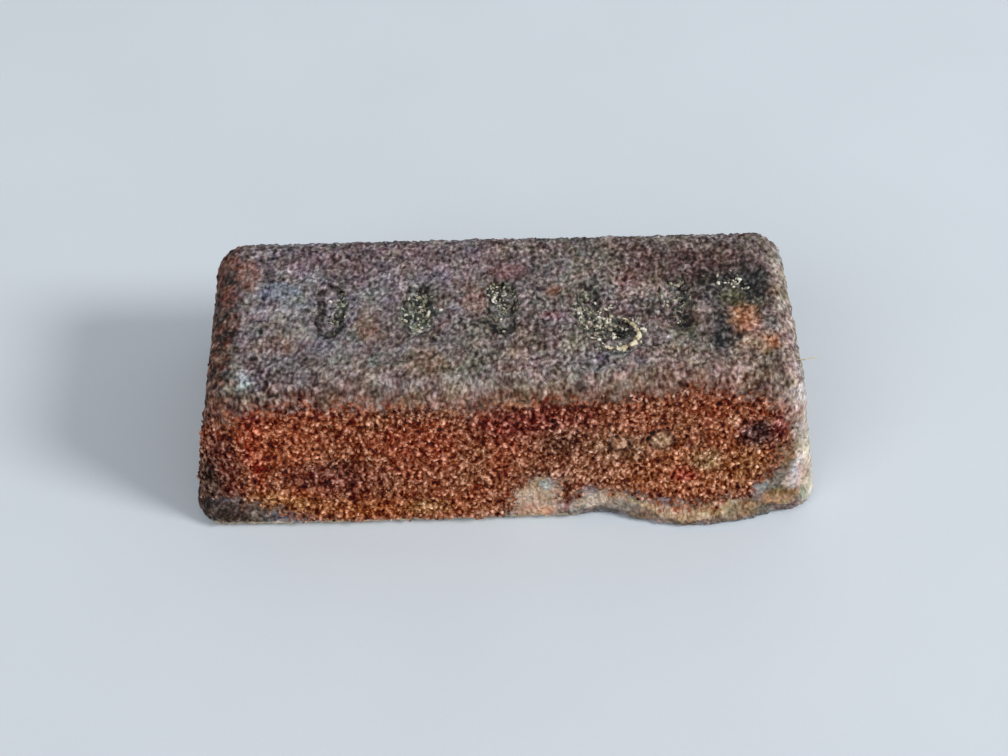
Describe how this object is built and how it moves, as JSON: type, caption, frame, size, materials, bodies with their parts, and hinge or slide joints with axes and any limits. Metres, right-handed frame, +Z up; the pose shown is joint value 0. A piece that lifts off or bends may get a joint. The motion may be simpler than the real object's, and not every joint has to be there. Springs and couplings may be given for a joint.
{
  "type": "metal ingot",
  "caption": "Small cast lead ingot: a tapered block with rounded edges, plain sunk bars on its narrow face and a flat pour face to rest on.",
  "frame": {"origin": "middle of the underside of the piece's box, on the plane of the pour face", "axes": "+X along the length, +Y towards the back, +Z up from the pour face to the marked face; the rust-stained face looks along -Y"},
  "size_m": [0.0756, 0.0342, 0.0216],
  "materials": {
    "weathered_lead": "matt oxidised lead alloy, stained with granular orange rust on the front face and grey and brown elsewhere"
  },
  "bodies": {
    "root": {"ingot": "weathered_lead"}
  },
  "joints": []
}
